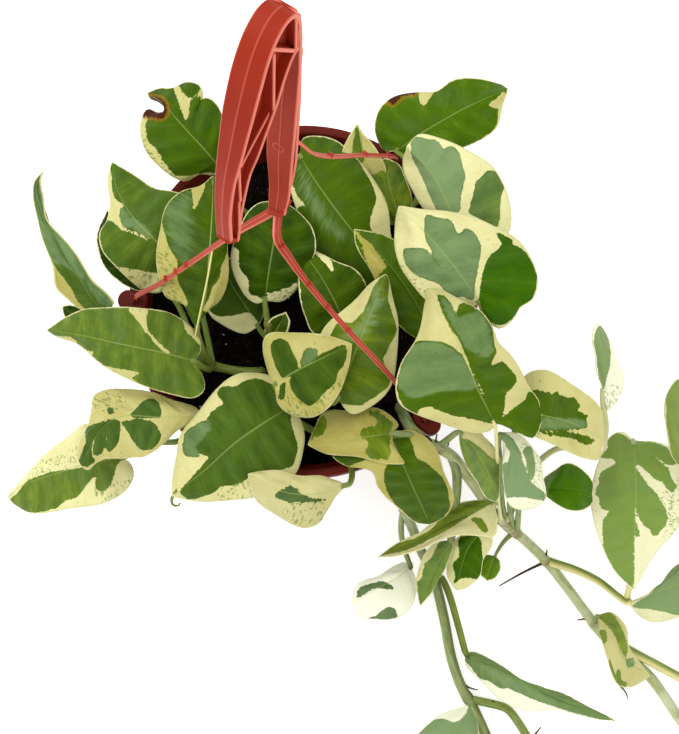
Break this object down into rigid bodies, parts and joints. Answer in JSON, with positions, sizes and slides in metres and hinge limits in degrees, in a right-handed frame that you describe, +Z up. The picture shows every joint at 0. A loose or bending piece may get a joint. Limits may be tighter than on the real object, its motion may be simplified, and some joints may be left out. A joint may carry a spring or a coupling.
{
  "type": "potted trailing houseplant",
  "caption": "Variegated trailing houseplant in a round tapered nursery pot with a clip-on hanger whose hook stands up over the leaves; two stems trail over the rim onto the surface.",
  "frame": {"origin": "centre of the pot's flat underside, on the surface that it stands on", "axes": "+Z up, +X to the right and +Y away from the viewer of the picture"},
  "size_m": [0.3781, 0.3593, 0.3805],
  "materials": {
    "pot_plastic": "satin",
    "hanger_plastic": "satin",
    "soil": "rough, dark peat",
    "plant": "waxy living leaf"
  },
  "bodies": {
    "root": {"pot": "pot_plastic", "soil": "soil", "hanger_hook": "hanger_plastic", "hanger_strand_left": "hanger_plastic", "hanger_strand_front": "hanger_plastic", "hanger_strand_back": "hanger_plastic", "leafy_stem_left": "plant", "leafy_stem_front_left": "plant", "leafy_stem_front": "plant", "leafy_stem_centre": "plant", "leafy_stem_back": "plant", "leafy_stem_back_right": "plant", "leafy_stem_right": "plant", "trailing_vine_right": "plant", "trailing_vine_front": "plant"}
  },
  "joints": []
}
